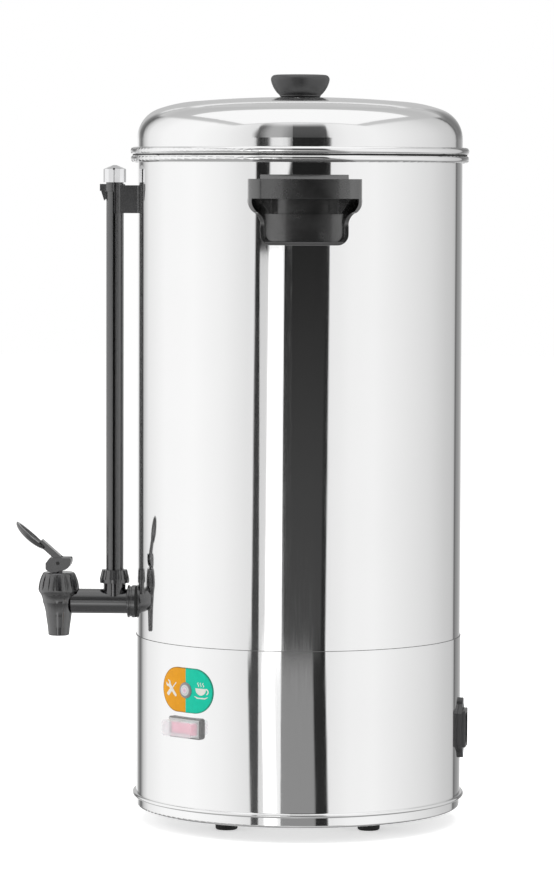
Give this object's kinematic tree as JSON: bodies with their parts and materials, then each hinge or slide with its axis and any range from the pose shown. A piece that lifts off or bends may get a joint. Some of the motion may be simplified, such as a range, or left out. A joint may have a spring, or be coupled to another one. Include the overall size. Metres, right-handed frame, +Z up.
{
  "type": "percolator coffee urn",
  "caption": "Polished steel percolator urn with a domed lid, spring-closed lever tap, slotted level gauge, black side handles and a skirt with rocker switch and lamp.",
  "frame": {"origin": "on the vessel's axis at the level the feet stand on", "axes": "+Z up; the tap and level gauge point towards -Y, the handles lie near +X and -X, the power inlet is near +Y"},
  "size_m": [0.3424, 0.3761, 0.6172],
  "materials": {
    "polished_steel": "mirror-polished stainless steel",
    "plain_steel": "plain stainless steel",
    "zinc_steel": "bright zinc-plated steel",
    "chrome": "bright chrome",
    "black_plastic": "satin black heat-proof plastic",
    "black_gloss": "smooth black plastic",
    "black_rubber": "matte black rubber",
    "white_silicone": "translucent white silicone",
    "brass": "plain brass",
    "glass": "clear glass",
    "sign_film": "orange and green printed plate",
    "grey_plastic": "mid grey plastic",
    "red_plastic": "translucent red plastic",
    "clear_cover": "clear silicone cover",
    "lamp_lens": "milky lamp lens",
    "light_ceramic": "cream terminal body",
    "lead_cover": "heat-proof sleeving"
  },
  "bodies": {
    "urn": {"vessel": "polished_steel", "base_skirt": "polished_steel", "base_pan": "polished_steel", "pump_well": "plain_steel", "boil_element": "plain_steel", "keep_warm_element": "plain_steel", "support_ring": "plain_steel", "tie_rods": "zinc_steel", "tie_nuts": "zinc_steel", "rubber_feet": "black_rubber", "foot_screws": "zinc_steel", "foot_nuts": "zinc_steel", "handle_right": "black_plastic", "handle_left": "black_plastic", "handle_screws": "plain_steel", "handle_washers": "plain_steel", "gauge_bracket": "black_plastic", "gauge_bracket_screw": "plain_steel", "gauge_glass": "glass", "gauge_guard": "black_plastic", "gauge_nut": "black_plastic", "gauge_seal": "white_silicone", "tap_shank": "black_gloss", "tap_gasket": "black_rubber", "shank_washer": "white_silicone", "shank_nut": "plain_steel", "tap_body": "black_gloss", "tap_bonnet": "black_plastic", "tap_spring": "plain_steel", "control_plate": "sign_film", "pilot_lamp_lens": "lamp_lens", "pilot_lamp_body": "grey_plastic", "switch_housing": "grey_plastic", "switch_terminals": "brass", "switch_boot": "clear_cover", "boil_thermostat": "plain_steel", "thermal_cutout": "plain_steel", "sensor_strap": "zinc_steel", "terminal_block": "light_ceramic", "power_inlet": "black_plastic", "inlet_pins": "brass", "inlet_screws": "zinc_steel", "inlet_nuts": "zinc_steel", "wiring_leads": "lead_cover"},
    "pump": {"pump_tube": "plain_steel", "pump_dome": "plain_steel"},
    "valve": {"pump_valve_disc": "plain_steel"},
    "basket": {"coffee_basket": "plain_steel"},
    "spreader": {"basket_spreader": "plain_steel"},
    "lid": {"lid_shell": "polished_steel", "lid_ring": "plain_steel", "lid_knob": "black_plastic", "knob_screw": "plain_steel"},
    "stem": {"tap_stem": "black_plastic", "seat_cup": "white_silicone"},
    "lever": {"tap_lever": "black_gloss", "lever_pin": "plain_steel"},
    "gauge_vent_cap": {"gauge_cap": "chrome"},
    "rocker": {"switch_rocker": "red_plastic"}
  },
  "joints": [
    {"name": "pump_lift", "type": "slide", "parent": "urn", "child": "pump", "axis": [0, 0, 1], "range_m": [0, 0.1]},
    {"name": "valve_rise", "type": "slide", "parent": "pump", "child": "valve", "axis": [0, 0, 1], "range_m": [0, 0.0025]},
    {"name": "basket_lift", "type": "slide", "parent": "pump", "child": "basket", "axis": [0, 0, 1], "range_m": [0, 0.06]},
    {"name": "spreader_lift", "type": "slide", "parent": "basket", "child": "spreader", "axis": [0, 0, 1], "range_m": [0, 0.03]},
    {"name": "lid_lift", "type": "slide", "parent": "spreader", "child": "lid", "axis": [0, 0, 1], "range_m": [0, 0.12]},
    {"name": "stem_rise", "type": "slide", "parent": "urn", "child": "stem", "axis": [0, 0, 1], "range_m": [0, 0.00207], "deforming": ["tap_spring"]},
    {"name": "lever_press", "type": "hinge", "parent": "stem", "child": "lever", "pos_m": [0, -0.1998, 0.2123], "axis": [1, 0, 0], "range_deg": [0, 30], "stiffness_Nm_per_rad": 0.0188, "springref_deg": -57.93},
    {"name": "gauge_cap_lift", "type": "slide", "parent": "urn", "child": "gauge_vent_cap", "axis": [0, 0, 1], "range_m": [0, 0.02]},
    {"name": "rocker_tilt", "type": "hinge", "parent": "urn", "child": "rocker", "pos_m": [0.10282, -0.08476, 0.089], "axis": [0, 0, 1], "range_deg": [0, 14]}
  ],
  "couplings": [
    {"joint": "lever_press", "follows": "stem_rise", "rad_per_m": 252.82}
  ]
}
